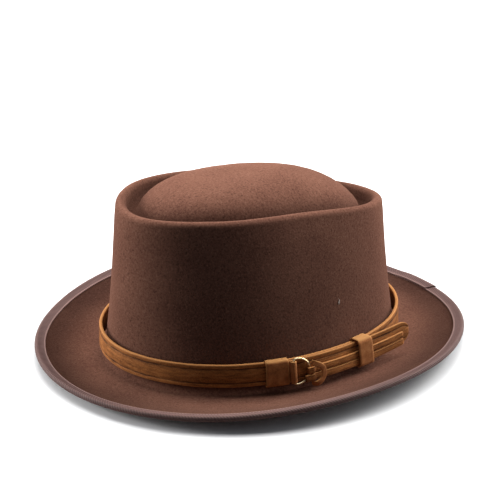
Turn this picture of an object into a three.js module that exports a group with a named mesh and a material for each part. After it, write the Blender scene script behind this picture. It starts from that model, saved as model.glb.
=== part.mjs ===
import * as THREE from "three";

// Sizes are in millimetres and turns in degrees. The front of the hat faces -Y and the wearer's left +X.

// Felt: one pressed piece, crown and brim together
const headLength = 199; // inside the crown at its foot, front to back
const headWidth = 162.4;
const feltWall = 2;
const edgeBulge = 0.8; // how far the brim's rounded edge stands out, in halves of the wall
const crownHeight = 104; // from the brim to the rim's crest, on the average
const crownLean = 23; // how far the sides of the crown come in between foot and rim
const crownFlare = 2.7; // sweep of the wall out towards its foot
const footRadius = 4;
const rimRadius = 3.6;
const grooveWidth = 8.5;
const grooveDepth = 12;
const domeRise = 15; // centre of the crown above the average crest
const domeDrop = 0.8; // where the dome's edge starts, as a share of the groove's depth
const domeShoulder = 3; // powers that give the dome its flat middle and round shoulders
const domeRound = 0.65;
const brimWidth = 50;
const brimLift = 14; // the edge at the sides above the foot
const restWidth = 3; // ring round the foot that lies flat on a table

// Ribbon folded over the brim's edge
const bindingWidth = 7.4;
const bindingWall = 0.7;
const bindingLap = 34; // length where the ribbon's ends lie over each other
const lapTurn = 180; // at the back
const lapRise = 0.7;

// Leather trim
const strapWidth = 14.7;
const strapWall = 2.2;
const strapLift = 6.8; // lower edge of the strap above the brim's middle surface
const strapTilt = 0.9; // higher in front and lower at the back by this much
const strapEase = 1.6; // room between the felt and the strap, at the strap's lower edge
const strapFlare = 0.11; // how much more room there is for each millimetre up
const wrapWall = 0.8; // leather of the sleeve and the keeper
const sleeveLength = 15;
const sleeveExtra = 0.9; // sleeve beyond the strap's edges, above and below
const tabWall = 1.2;
const tabLength = 11;
const tabTurn = 252; // how far the tab's end turns round the ring's bar
const tongueLength = 92;
const tongueWall = 1.5;
const tongueSpring = 11.5; // how far the free tip stands off the strap
const tongueFree = 40; // length of the tongue that follows the strap before it leaves it
const tongueRise = 2.5; // how far the tip ends above the strap's line
const tipDrop = 0.8; // roundness of the tongue's tip, 1 for a half circle
const laceWidth = 4.2;
const laceWall = 1.5;
const laceLength = 76;
const laceGroove = 0.6;
const laceSteps = 11;
const laceSeam = 0.05; // between the hook behind the ring and the run over it
const tailStart = 7; // the lower run's square end, from the ring's bar
const wrapHalf = 2.1; // half the width of the turn round both runs
const wrapThick = 1.2;
const keeperLength = 11.5;
const keeperAlong = 55; // from the ring's bar to the keeper's middle
const keeperExtra = 1.9;

// Ring
const ringWire = 1.3;
const ringHeight = 18;
const ringReach = 12; // from the bar to the far side of the bow
const ringTurn = 72.8; // where its bar stands round the hat
const ringCorner = 2.2; // radius between the bar and the bow
const ringSteps = 36;
const bowSteps = 12;
const wireSides = 6;

const gap = 0.3; // between neighbouring pieces
const around = 56; // steps round the hat

// One row for each eighth of the way round, from the front by the wearer's left. Width, lift, rim, lean and
// groove are shares of brimWidth, brimLift, crownHeight, crownLean and grooveWidth. Curl is the slope of the
// brim's edge in degrees.
const eighths = [
  { width: 0.94, lift: 0.48, curl: 24, rim: 1.04, lean: 0.27, groove: 0.85 },
  { width: 1.02, lift: 0.6, curl: 14, rim: 1.05, lean: 0.62, groove: 0.9 },
  { width: 1.06, lift: 0.97, curl: 20, rim: 1.015, lean: 0.96, groove: 0.9 },
  { width: 1.0, lift: 0.68, curl: 20, rim: 0.925, lean: 0.46, groove: 0.9 },
  { width: 0.98, lift: 0.42, curl: 20, rim: 0.845, lean: 0.14, groove: 0.9 },
  { width: 1.03, lift: 0.85, curl: 21, rim: 0.865, lean: 0.56, groove: 0.9 },
  { width: 1.07, lift: 1.03, curl: 20, rim: 1.0, lean: 0.98, groove: 0.9 },
  { width: 1.0, lift: 0.64, curl: 14, rim: 1.05, lean: 0.5, groove: 0.7 },
];

// A column of the table at any turn, on a smooth closed curve through its rows.
function at(column, turn) {
  const place = THREE.MathUtils.euclideanModulo(turn, 360) / (360 / eighths.length);
  const row = Math.floor(place);
  const [before, here, next, after] = [-1, 0, 1, 2].map(
    (step) => eighths[(row + step + eighths.length) % eighths.length][column],
  );
  const t = place - row;
  const slopeHere = (next - before) / 2;
  const slopeNext = (after - here) / 2;
  return (
    (2 * t ** 3 - 3 * t ** 2 + 1) * here +
    (t ** 3 - 2 * t ** 2 + t) * slopeHere +
    (3 * t ** 2 - 2 * t ** 3) * next +
    (t ** 3 - t ** 2) * slopeNext
  );
}

// A point that lies a distance out from the foot of the crown, square to its oval, at height z.
function place(turn, out, z) {
  const angle = THREE.MathUtils.degToRad(turn);
  const halfLength = headLength / 2 + feltWall;
  const halfWidth = headWidth / 2 + feltWall;
  const x = halfWidth * Math.sin(angle);
  const y = -halfLength * Math.cos(angle);
  const square = new THREE.Vector2(Math.sin(angle) / halfWidth, -Math.cos(angle) / halfLength).normalize();
  return new THREE.Vector3(x + square.x * out, y + square.y * out, z);
}

// The felt's outer face on the crown's wall, as a distance out from the foot oval.
function wallOut(turn, z) {
  const share = z / (crownHeight * at("rim", turn));
  return crownFlare * (1 - share) ** 3 - crownLean * at("lean", turn) * share;
}

// The middle surface of the brim: its height and slope at a distance out from the foot oval.
function brimAt(turn, out) {
  const width = brimWidth * at("width", turn) - footEnd(turn);
  const lift = brimLift * at("lift", turn);
  const edgeSlope = Math.tan(THREE.MathUtils.degToRad(at("curl", turn)));
  const t = Math.max(0, (out - footEnd(turn) - restWidth) / (width - restWidth));
  const z = lift * (3 * t ** 2 - 2 * t ** 3) + edgeSlope * width * (t ** 3 - t ** 2);
  const slope = (lift * 6 * (t - t ** 2)) / width + edgeSlope * (3 * t ** 2 - 2 * t);
  return { z, slope };
}

// Where the sweep at the crown's foot runs out into the brim.
function footEnd(turn) {
  return wallOut(turn, feltWall / 2 + footRadius) + footRadius;
}

// The felt's upper face in one radial section, from the crown's centre to the brim's edge.
function feltSection(turn) {
  const half = feltWall / 2;
  const crest = crownHeight * at("rim", turn);
  const lean = crownLean * at("lean", turn);
  const groove = grooveWidth * at("groove", turn);
  const points = [];

  const domeFoot = crownHeight - domeDrop * grooveDepth;
  const domeEdge = place(turn, -lean - 2 * rimRadius - groove, crest - domeDrop * grooveDepth);
  const domeTop = new THREE.Vector3(0, 0, crownHeight + domeRise);
  for (const share of [0, 0.28, 0.5, 0.68, 0.82, 0.92, 1]) {
    const point = domeTop.clone().lerp(domeEdge, share);
    const bulge = (1 - share ** domeShoulder) ** domeRound;
    point.z = THREE.MathUtils.lerp(domeFoot, domeEdge.z, share ** 2) + (domeTop.z - domeFoot) * bulge;
    points.push(point);
  }

  const valley = [
    { across: 0.35, down: 1 },
    { across: 0.75, down: 0.97 },
    { across: 1.02, down: 0.6 },
  ];
  for (const { across, down } of valley) {
    points.push(place(turn, -lean - 2 * rimRadius - groove * (1 - across), crest - down * grooveDepth));
  }

  for (const angle of [170, 135, 100, 65, 30, 0]) {
    const turned = THREE.MathUtils.degToRad(angle);
    const out = -lean - rimRadius + rimRadius * Math.cos(turned);
    points.push(place(turn, out, crest - rimRadius + rimRadius * Math.sin(turned)));
  }

  const footTop = half + footRadius;
  for (const share of [0.8, 0.58, 0.36, 0.16, 0]) {
    const z = footTop + (crest - rimRadius - footTop) * share;
    points.push(place(turn, wallOut(turn, z), z));
  }

  for (const angle of [30, 60]) {
    const turned = THREE.MathUtils.degToRad(angle);
    const out = footEnd(turn) - footRadius * Math.cos(turned);
    points.push(place(turn, out, footTop - footRadius * Math.sin(turned)));
  }

  const inner = footEnd(turn);
  const rest = [place(turn, inner, half), place(turn, inner + restWidth, half)];
  rest.forEach((point) => (point.level = true));
  points.push(...rest);
  const edge = brimWidth * at("width", turn) - bindingInset;
  for (const share of [0.2, 0.38, 0.55, 0.7, 0.82, 0.92, 1]) {
    const out = THREE.MathUtils.lerp(inner + restWidth, edge, share);
    const { z, slope } = brimAt(turn, out);
    const tip = Math.atan(slope);
    points.push(place(turn, out - half * Math.sin(tip), z + half * Math.cos(tip)));
  }
  return points;
}

// The centre of the felt's rounded edge lies this far inside the ribbon's fold.
const bindingInset = bindingWall + gap + feltWall / 2;

// A closed mesh from triangles of points. Triangles of no area are dropped, and the faces point outwards.
function solid(triangles) {
  const kept = triangles.filter(([a, b, c]) => !a.equals(b) && !b.equals(c) && !c.equals(a));
  let volume = 0;
  for (const [a, b, c] of kept) volume += a.dot(b.clone().cross(c));
  const position = kept.flatMap(([a, b, c]) => (volume > 0 ? [a, b, c] : [a, c, b]));
  const geometry = new THREE.BufferGeometry().setFromPoints(position);
  geometry.computeVertexNormals();
  return geometry;
}

// The two triangles between neighbouring points of two rows.
function quad(a, b, c, d) {
  return [
    [a, b, c],
    [a, c, d],
  ];
}

// Triangles that join each closed row of points to the next.
function skin(rows, closed) {
  const triangles = [];
  const last = closed ? rows.length : rows.length - 1;
  for (let i = 0; i < last; i += 1) {
    const row = rows[i];
    const next = rows[(i + 1) % rows.length];
    row.forEach((point, j) => {
      const k = (j + 1) % row.length;
      triangles.push(...quad(point, next[j], next[k], row[k]));
    });
  }
  return triangles;
}

// A flat convex end over a row of points.
function cap(row) {
  return row.slice(2).map((point, j) => [row[0], row[j + 1], point]);
}

// A bar through rows of points, with an end over its first and last.
function bar(rows) {
  return solid([...skin(rows, false), ...cap(rows[0]), ...cap([...rows.at(-1)].reverse())]);
}

// A tube with a wall, through pairs of an outer and an inner row.
function tube(outer, inner) {
  const ends = [
    [outer[0], inner[0]],
    [inner.at(-1), outer.at(-1)],
  ];
  const rings = ends.flatMap(([from, to]) => skin([from, to], false).map(([a, b, c]) => [a, c, b]));
  const walls = [...skin(outer, false), ...skin([...inner].reverse(), false)];
  return solid([...walls, ...rings]);
}

// A closed shell under a net of points that starts at a pole: the net itself, and the same net a wall lower.
function shell(net, wall) {
  const under = net.map((row, i) => {
    const before = net[(i + net.length - 1) % net.length];
    const after = net[(i + 1) % net.length];
    return row.map((point, j) => {
      const along = row[Math.min(j + 1, row.length - 1)].clone().sub(row[Math.max(j - 1, 0)]);
      const round = after[j].clone().sub(before[j]);
      const square = along.cross(round).normalize();
      if (point.level || j === 0) square.set(0, 0, 1);
      return point.clone().addScaledVector(square, -wall);
    });
  });
  const triangles = [];
  net.forEach((row, i) => {
    const k = (i + 1) % net.length;
    for (let j = 0; j < row.length - 1; j += 1) {
      triangles.push(...quad(row[j], row[j + 1], net[k][j + 1], net[k][j]));
      triangles.push(...quad(under[i][j], under[k][j], under[k][j + 1], under[i][j + 1]));
    }
    const bulge = (n) => {
      const [top, low] = [net[n].at(-1), under[n].at(-1)];
      const out = top.clone().sub(net[n].at(-2)).normalize();
      return top.clone().lerp(low, 0.5).addScaledVector(out, (wall / 2) * edgeBulge);
    };
    triangles.push(...quad(row.at(-1), bulge(i), bulge(k), net[k].at(-1)));
    triangles.push(...quad(bulge(i), under[i].at(-1), under[k].at(-1), bulge(k)));
  });
  return solid(triangles);
}

const turns = Array.from({ length: around }, (_, i) => (360 * i) / around);

// The ribbon's folded section at one turn: outside over the edge, then back inside. Extra makes it thicker.
function bindingSection(turn, extra) {
  const width = brimWidth * at("width", turn);
  const inside = feltWall / 2 + gap;
  const outside = inside + bindingWall + extra;
  const cover = bindingWidth * Math.cos(THREE.MathUtils.degToRad(at("curl", turn)));
  const arc = (radius, angles) =>
    angles.map((angle) => {
      const turned = THREE.MathUtils.degToRad(angle);
      return [bindingInset - radius * Math.cos(turned), radius * Math.sin(turned)];
    });
  const outline = [
    [cover, outside],
    ...arc(outside, [90, 50, 0, -50, -90]),
    [cover, -outside],
    [cover, -inside],
    ...arc(inside, [-90, 0, 90]),
    [cover, inside],
  ];
  return outline.map(([back, rise]) => {
    const { z, slope } = brimAt(turn, width - back);
    const tip = Math.atan(slope);
    return place(turn, width - back - rise * Math.sin(tip), z + rise * Math.cos(tip));
  });
}

function makeBinding() {
  const edgeRadius = headLength / 2 + feltWall + brimWidth;
  const lapHalf = THREE.MathUtils.radToDeg(bindingLap / 2 / edgeRadius);
  const step = THREE.MathUtils.radToDeg(lapRise / edgeRadius);
  const inLap = (turn) => Math.abs(turn - lapTurn) < lapHalf + step;
  const rows = turns.filter((turn) => !inLap(turn)).map((turn) => ({ turn, extra: 0 }));
  for (const side of [-1, 1]) {
    rows.push({ turn: lapTurn + side * (lapHalf + step), extra: 0 });
    rows.push({ turn: lapTurn + side * lapHalf, extra: lapRise });
  }
  rows.push({ turn: lapTurn, extra: lapRise });
  rows.sort((a, b) => a.turn - b.turn);
  return solid(skin(rows.map(({ turn, extra }) => bindingSection(turn, extra)), true));
}

// A point on the trim: a turn, a distance out from the felt's wall, a height above the strap's lower edge.
function onStrap(turn, out, height) {
  const level = strapTilt * Math.cos(THREE.MathUtils.degToRad(turn));
  const z = strapLift + height;
  return place(turn, wallOut(turn, z) + out + height * strapFlare, z + level);
}

const strapBack = strapEase;
const strapFace = strapEase + strapWall;

function makeStrap() {
  const rows = turns.map((turn) => [
    onStrap(turn, strapBack, 0),
    onStrap(turn, strapFace, 0),
    onStrap(turn, strapFace, strapWidth),
    onStrap(turn, strapBack, strapWidth),
  ]);
  return solid(skin(rows, true));
}

// The turn that lies a length along the strap from the ring's bar, on the way to the back of the hat.
function turnAlong(length) {
  const steps = 24;
  const small = 0.01;
  let turn = ringTurn;
  for (let i = 0; i < steps; i += 1) {
    const here = onStrap(turn, strapFace, strapWidth / 2);
    const near = onStrap(turn + small, strapFace, strapWidth / 2);
    turn += ((length / steps) * small) / here.distanceTo(near);
  }
  return turn;
}

// Rows of points along the strap, from one length to another.
function alongStrap(from, to, steps, section) {
  return Array.from({ length: steps + 1 }, (_, i) => {
    const length = THREE.MathUtils.lerp(from, to, i / steps);
    return section(length, turnAlong(length));
  });
}

// The four corners of a piece that lies on the strap, between two distances out and two heights.
function corners(turn, back, face, low, high) {
  return [
    onStrap(turn, back, low),
    onStrap(turn, face, low),
    onStrap(turn, face, high),
    onStrap(turn, back, high),
  ];
}

const tabBack = strapFace + gap;
const tabFace = tabBack + tabWall;
const eyeInner = ringWire / 2 + gap;
const eyeOuter = eyeInner + tabWall;
const ringOut = strapFace + tongueWall + 2 * gap + ringWire / 2; // the ring lies on the tongue

// The strap's end, turned round the ring's bar: a flat tab with an eye, seen from above as one outline.
function makeTab() {
  const steps = 8;
  const outline = [];
  outline.push([-eyeOuter - tabLength, tabBack], [-eyeOuter, tabBack]);
  const arc = (radius) =>
    Array.from({ length: steps + 1 }, (_, i) => {
      const angle = THREE.MathUtils.degToRad((tabTurn * i) / steps - 90);
      return [radius * Math.cos(angle), ringOut + radius * Math.sin(angle)];
    });
  outline.push(...arc(eyeOuter), ...arc(eyeInner).reverse());
  outline.push([-eyeOuter, tabFace], [-eyeOuter - tabLength, tabFace]);
  return upright(outline, gap, strapWidth - gap);
}

// A piece with one outline seen from above, lengths along the strap by distances out, between two heights.
function upright(outline, low, high) {
  const flat = outline.map(([length, out]) => new THREE.Vector2(length, out));
  const row = (height) => flat.map((point) => onStrap(turnAlong(point.x), point.y, height));
  const [bottom, top] = [row(low), row(high)];
  const faces = THREE.ShapeUtils.triangulateShape(flat, []);
  const pick = (points, order) => faces.map((face) => order.map((n) => points[face[n]]));
  return solid([...skin([bottom, top], false), ...pick(bottom, [0, 1, 2]), ...pick(top, [0, 2, 1])]);
}

function makeSleeve() {
  const back = strapBack - gap - wrapWall;
  const face = tabFace + gap + wrapWall;
  const start = -sleeveLength - ringWire - gap - tabWall;
  const rows = (shrink) =>
    alongStrap(start, start + sleeveLength, 3, (length, turn) =>
      corners(turn, back + shrink, face - shrink, shrink - sleeveExtra, strapWidth + sleeveExtra - shrink),
    );
  return tube(rows(0), rows(wrapWall));
}

// How far along its free end the tongue is, from 0 to 1, a length along it from the bar.
function freeShare(length) {
  return Math.max(0, length - tongueFree) / (tongueEnd - tongueFree);
}

// How far the tongue's back stands off the strap's face.
function standOff(length) {
  return gap + tongueSpring * freeShare(length) ** 2;
}

// The four corners of a piece on the tongue, which rises with it.
function risen(length, back, face, low, high) {
  const rise = tongueRise * freeShare(length) ** 2;
  return corners(turnAlong(length), back, face, low + rise, high + rise);
}

const tongueStart = eyeOuter + gap;
const tongueEnd = tongueLength + tongueStart;

function makeTongue() {
  const tipLength = strapWidth / 2;
  const straight = alongStrap(tongueStart, tongueEnd - tipLength, 14, (length) => {
    const back = strapFace + standOff(length);
    return risen(length, back, back + tongueWall, 0, strapWidth);
  });
  const tip = [0.5, 0.8, 0.97].map((share) => {
    const length = tongueEnd - tipLength * (1 - share);
    const drop = (strapWidth / 2) * (1 - Math.sqrt(1 - share ** 2)) * tipDrop;
    const back = strapFace + standOff(length);
    return risen(length, back, back + tongueWall, drop, strapWidth - drop);
  });
  return bar([...straight, ...tip]);
}

const tongueFace = strapFace + tongueWall + gap; // where the tongue lies on the strap
const overRing = ringOut + ringWire / 2 + gap;
const laceHeight = 2 * laceWidth + laceGroove;

// How far the lace's back stands off the felt: over the ring's bow, then down to the tongue's face.
function laceBack(length) {
  const past = THREE.MathUtils.smoothstep(length, ringReach + gap, ringReach + gap + 2 * laceWall);
  const onTongue = strapFace + standOff(length) + tongueWall + gap;
  return THREE.MathUtils.lerp(overRing, onTongue, past);
}

// One run of the lace, between two heights, from a length inside the ring to its square end.
function laceRun(from, low, high) {
  const end = ringReach + laceLength;
  const row = (length, back, face) => risen(length, back, face, low, high);
  const over = [from, ringReach + gap, ringReach + gap + laceWall, ringReach + gap + 2 * laceWall];
  const shares = Array.from({ length: laceSteps }, (_, i) => (i + 1) / laceSteps);
  const rest = shares.map((share) => THREE.MathUtils.lerp(over[3], end, share));
  return [...over, ...rest].map((length) => row(length, laceBack(length), laceBack(length) + laceWall));
}

// The upper run is turned in behind the ring's bow.
function makeUpperLace() {
  const low = laceWidth + laceGroove;
  const high = low + laceWidth;
  const turned = ringReach - ringWire - 2 * gap;
  const root = strapFace + tongueWall + 2 * gap;
  const hook = [turned - laceWall, turned].map((length) =>
    corners(turnAlong(length), root, overRing + laceWall, low, high),
  );
  return bar([...hook, ...laceRun(turned + laceSeam, low, high)]);
}

// The lower run ends in a short square tail over the bow.
function makeLowerLace() {
  return bar(laceRun(tailStart, 0, laceWidth));
}

// The turn of lace round both runs. Along is a share of ringReach and high of the two runs' height. Out says
// how far the row has come from the tongue's face to clear of the lace.
const wrapRows = [
  { along: 1.08, high: 1.27, out: 0 },
  { along: 1.2, high: 1.25, out: 0.8 },
  { along: 1.42, high: 1.1, out: 1 },
  { along: 1.58, high: 0.8, out: 1 },
  { along: 1.62, high: 0.48, out: 1 },
  { along: 1.54, high: 0.14, out: 1 },
  { along: 1.34, high: -0.16, out: 1 },
  { along: 1.14, high: -0.3, out: 0.8 },
  { along: 1.0, high: -0.32, out: 0 },
];

function makeWrap() {
  const inner = strapFace + tongueWall + 2 * gap;
  const outer = overRing + laceWall + gap;
  const middle = { along: 0.9 * ringReach, high: laceHeight / 2 };
  const rows = wrapRows.map(({ along, high, out }) => {
    const centre = new THREE.Vector2(along * ringReach, high * laceHeight);
    const side = centre.clone().sub(new THREE.Vector2(middle.along, middle.high)).setLength(wrapHalf);
    const back = THREE.MathUtils.lerp(inner, outer, out);
    const corner = (sign, distance) => {
      const point = centre.clone().addScaledVector(side, sign);
      return onStrap(turnAlong(point.x), distance, point.y);
    };
    const face = back + wrapThick;
    return [corner(-1, back), corner(-1, face), corner(1, face), corner(1, back)];
  });
  return bar(rows);
}

function makeKeeper() {
  const from = keeperAlong - keeperLength / 2;
  const back = strapBack - gap - wrapWall;
  const rows = (shrink) =>
    alongStrap(from, from + keeperLength, 4, (length, turn) => {
      const face = strapFace + standOff(length) + tongueWall + laceWall + 2 * gap + gap + wrapWall;
      const high = strapWidth + keeperExtra - shrink;
      return corners(turn, back + shrink, face - shrink, shrink - keeperExtra, high);
    });
  return tube(rows(0), rows(wrapWall));
}

// One section swept round a smooth closed curve through the points.
function sweep(points, shape) {
  const path = new THREE.CatmullRomCurve3(points, true);
  return new THREE.ExtrudeGeometry(shape, { extrudePath: path, steps: ringSteps, bevelEnabled: false });
}

// The D-shaped ring lies in front of the strap, with its straight bar in the tab's eye.
function makeRing() {
  const middle = strapWidth / 2;
  const half = (ringHeight - ringWire) / 2;
  const reach = ringReach - ringWire / 2;
  const path = [];
  for (const share of [-0.8, -0.4, 0, 0.4, 0.8]) path.push([0, share * (half - ringCorner)]);
  for (let i = 0; i <= bowSteps; i += 1) {
    const angle = Math.PI * (0.5 - i / bowSteps);
    path.push([ringCorner + (reach - ringCorner) * Math.cos(angle), half * Math.sin(angle)]);
  }
  path.splice(5, 0, [ringCorner * 0.25, half - ringCorner * 0.3]);
  path.push([ringCorner * 0.25, ringCorner * 0.3 - half]);
  const points = path.map(([length, height]) => onStrap(turnAlong(length), ringOut, middle + height));
  const wire = new THREE.Shape().absarc(0, 0, ringWire / 2, 0, 2 * Math.PI, false);
  const round = new THREE.Shape(wire.getSpacedPoints(wireSides).slice(0, wireSides));
  return sweep(points, round);
}

const leather = { color: 0x9a612c, roughness: 0.8, metalness: 0 };
const felt = { color: 0x6b463b, roughness: 0.95, metalness: 0 };
const ribbon = { color: 0x6e5655, roughness: 0.8, metalness: 0 };
const gilt = { color: 0xd8b878, roughness: 0.25, metalness: 1 };

const hat = new THREE.Group();

function add(name, geometry, look) {
  const mesh = new THREE.Mesh(geometry, new THREE.MeshStandardMaterial(look));
  mesh.name = name;
  hat.add(mesh);
}

add("felt_body", shell(turns.map(feltSection), feltWall), felt);
add("brim_binding", makeBinding(), ribbon);
add("hatband_strap", makeStrap(), leather);
add("ring_tab", makeTab(), leather);
add("ring_sleeve", makeSleeve(), leather);
add("d_ring", makeRing(), gilt);
add("tongue_strap", makeTongue(), leather);
add("lace_upper", makeUpperLace(), leather);
add("lace_lower", makeLowerLace(), leather);
add("lace_wrap", makeWrap(), leather);
add("keeper_loop", makeKeeper(), leather);

const bounds = new THREE.Box3().setFromObject(hat);
const middle = bounds.getCenter(new THREE.Vector3());
hat.position.set(-middle.x, -middle.y, -bounds.min.z);

export default hat;
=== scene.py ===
import math

import bmesh
import bpy
import numpy as np
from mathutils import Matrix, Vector, noise


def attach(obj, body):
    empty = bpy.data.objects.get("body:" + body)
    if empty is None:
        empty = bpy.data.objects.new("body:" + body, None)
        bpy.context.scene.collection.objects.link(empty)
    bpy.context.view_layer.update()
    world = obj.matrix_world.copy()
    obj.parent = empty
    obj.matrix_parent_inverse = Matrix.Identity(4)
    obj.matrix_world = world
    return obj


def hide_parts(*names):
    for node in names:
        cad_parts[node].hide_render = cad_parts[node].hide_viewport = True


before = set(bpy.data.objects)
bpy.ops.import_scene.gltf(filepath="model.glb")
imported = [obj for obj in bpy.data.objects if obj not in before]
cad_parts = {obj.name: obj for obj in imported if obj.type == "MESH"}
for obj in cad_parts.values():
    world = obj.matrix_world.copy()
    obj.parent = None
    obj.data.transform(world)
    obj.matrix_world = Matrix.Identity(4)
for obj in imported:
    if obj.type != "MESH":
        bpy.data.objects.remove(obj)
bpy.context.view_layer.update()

# Sizes in millimetres, the same values as the part's own.
size = {
    "headLength": 199, "headWidth": 162.4, "feltWall": 2, "crownHeight": 104, "crownLean": 23,
    "crownFlare": 2.7, "footRadius": 4, "rimRadius": 3.6, "grooveWidth": 8.5, "grooveDepth": 12,
    "domeRise": 15, "brimWidth": 50, "brimLift": 14, "restWidth": 3,
    "bindingWidth": 7.4, "bindingWall": 0.7, "lapRise": 0.7,
    "strapWidth": 14.7, "strapWall": 2.2, "strapLift": 6.8, "strapTilt": 0.9, "strapEase": 1.6,
    "strapFlare": 0.11, "tongueRise": 2.5, "wrapThick": 1.2,
    "wrapWall": 0.8, "sleeveLength": 15, "sleeveExtra": 0.9, "tabWall": 1.2, "tabLength": 11,
    "tongueLength": 92, "tongueWall": 1.5, "tongueSpring": 11.5, "tongueFree": 40,
    "laceWidth": 4.2, "laceWall": 1.5, "laceLength": 76, "laceGroove": 0.6,
    "keeperLength": 11.5, "keeperAlong": 55, "keeperExtra": 1.9,
    "ringWire": 1.3, "ringHeight": 18, "ringReach": 12, "ringTurn": 72.8, "gap": 0.3,
}
eighths = {
    "width": [0.94, 1.02, 1.06, 1.0, 0.98, 1.03, 1.07, 1.0],
    "lift": [0.48, 0.6, 0.97, 0.68, 0.42, 0.85, 1.03, 0.64],
    "curl": [24, 14, 20, 20, 20, 21, 20, 14],
    "rim": [1.04, 1.05, 1.015, 0.925, 0.845, 0.865, 1.0, 1.05],
    "lean": [0.27, 0.62, 0.96, 0.46, 0.14, 0.56, 0.98, 0.5],
    "groove": [0.85, 0.9, 0.9, 0.9, 0.9, 0.9, 0.9, 0.7],
}
offset = np.array([0.25, -1.35, 1.0])  # from the crown's foot oval to the frame's origin

wall = size["feltWall"]
half = wall / 2
gap = size["gap"]
strapBack = size["strapEase"]
strapFace = strapBack + size["strapWall"]
tongueWall = size["tongueWall"]
ringOut = strapFace + tongueWall + 2 * gap + size["ringWire"] / 2


# A column of the table at any turn, on a smooth closed curve through its rows.
def at(column, turn):
    values = np.array(eighths[column], float)
    step = np.mod(np.asarray(turn, float), 360) / 45
    row = np.floor(step).astype(int)
    t = step - row
    before, here, after, last = (values[(row + k) % 8] for k in (-1, 0, 1, 2))
    return ((2 * t**3 - 3 * t**2 + 1) * here + (t**3 - 2 * t**2 + t) * (after - before) / 2
            + (3 * t**2 - 2 * t**3) * after + (t**3 - t**2) * (last - here) / 2)


# Points that lie a distance out from the foot of the crown, square to its oval.
def place(turn, out, z):
    angle = np.radians(turn)
    halfLength = size["headLength"] / 2 + wall
    halfWidth = size["headWidth"] / 2 + wall
    squareX, squareY = np.sin(angle) / halfWidth, -np.cos(angle) / halfLength
    square = np.hypot(squareX, squareY)
    x = halfWidth * np.sin(angle) + squareX / square * out
    y = -halfLength * np.cos(angle) + squareY / square * out
    return np.stack(np.broadcast_arrays(x, y, z), -1).astype(float)


def wallOut(turn, z):
    share = z / (size["crownHeight"] * at("rim", turn))
    return size["crownFlare"] * (1 - share) ** 3 - size["crownLean"] * at("lean", turn) * share


def footEnd(turn):
    return wallOut(turn, half + size["footRadius"]) + size["footRadius"]


def brimAt(turn, out):
    width = size["brimWidth"] * at("width", turn) - footEnd(turn)
    lift = size["brimLift"] * at("lift", turn)
    edgeSlope = np.tan(np.radians(at("curl", turn)))
    t = np.maximum(0, (out - footEnd(turn) - size["restWidth"]) / (width - size["restWidth"]))
    z = lift * (3 * t**2 - 2 * t**3) + edgeSlope * width * (t**3 - t**2)
    slope = lift * 6 * (t - t**2) / width + edgeSlope * (3 * t**2 - 2 * t)
    return z, slope


# A point on the trim: a turn, a distance out from the felt's wall and a height over the strap's lower edge.
def onStrap(turn, out, height):
    level = size["strapTilt"] * np.cos(np.radians(turn))
    z = size["strapLift"] + height
    return place(turn, wallOut(turn, z) + out + height * size["strapFlare"], z + level)


stripTurns = np.linspace(0, 360, 1441)
stripPath = onStrap(stripTurns, strapFace, size["strapWidth"] / 2)
stripLengths = np.concatenate([[0], np.cumsum(np.linalg.norm(np.diff(stripPath, axis=0), axis=1))])
barLength = np.interp(size["ringTurn"], stripTurns, stripLengths)


# The turn that lies a length along the strap from the ring's bar.
def turnAlong(length):
    return np.interp(barLength + np.asarray(length, float), stripLengths, stripTurns)


def smoothStep(value, low, high):
    t = np.clip((value - low) / (high - low), 0, 1)
    return t * t * (3 - 2 * t)


# Joins a mesh's points that lie on each other, within a tenth of a micrometre, and turns its faces outwards.
def cleanMesh(mesh):
    build = bmesh.new()
    build.from_mesh(mesh)
    bmesh.ops.remove_doubles(build, verts=build.verts, dist=1e-7)
    bmesh.ops.recalc_face_normals(build, faces=build.faces)
    build.to_mesh(mesh)
    build.free()
    mesh.shade_smooth()


# A mesh piece from a net of points in millimetres, rows by columns, with a texture map.
def netPiece(name, net, uv, material, closeRows=False, closeColumns=True, capEnds=False):
    rows, columns = net.shape[:2]
    points = ((net + offset) / 1000).reshape(-1, 3)
    faces, maps = [], []
    for i in range(rows if closeRows else rows - 1):
        for j in range(columns if closeColumns else columns - 1):
            a, b = (i + 1) % rows, (j + 1) % columns
            faces.append((i * columns + j, a * columns + j, a * columns + b, i * columns + b))
            maps.append((uv[i][j], uv[i + 1][j], uv[i + 1][j + 1], uv[i][j + 1]))
    if capEnds:
        faces.append(tuple(range(columns)))
        maps.append(tuple(uv[0][j] for j in range(columns)))
        faces.append(tuple((rows - 1) * columns + j for j in reversed(range(columns))))
        maps.append(tuple(uv[rows - 1][j] for j in reversed(range(columns))))
    mesh = bpy.data.meshes.new(name)
    mesh.from_pydata([tuple(p) for p in points], [], faces)
    layer = mesh.uv_layers.new(name="UVMap")
    layer.data.foreach_set("uv", np.array([c for face in maps for c in face], float).ravel())
    cleanMesh(mesh)
    mesh.materials.append(material)
    piece = bpy.data.objects.new(name, mesh)
    bpy.context.scene.collection.objects.link(piece)
    return piece


def finishPiece(piece, slot, *nodes):
    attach(piece, "root")
    if nodes:
        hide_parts(*nodes)


# Linear colour from an sRGB hex string.
def colour(text):
    values = [int(text[i:i + 2], 16) / 255 for i in (0, 2, 4)]
    return tuple(v / 12.92 if v <= 0.04045 else ((v + 0.055) / 1.055) ** 2.4 for v in values) + (1,)


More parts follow.
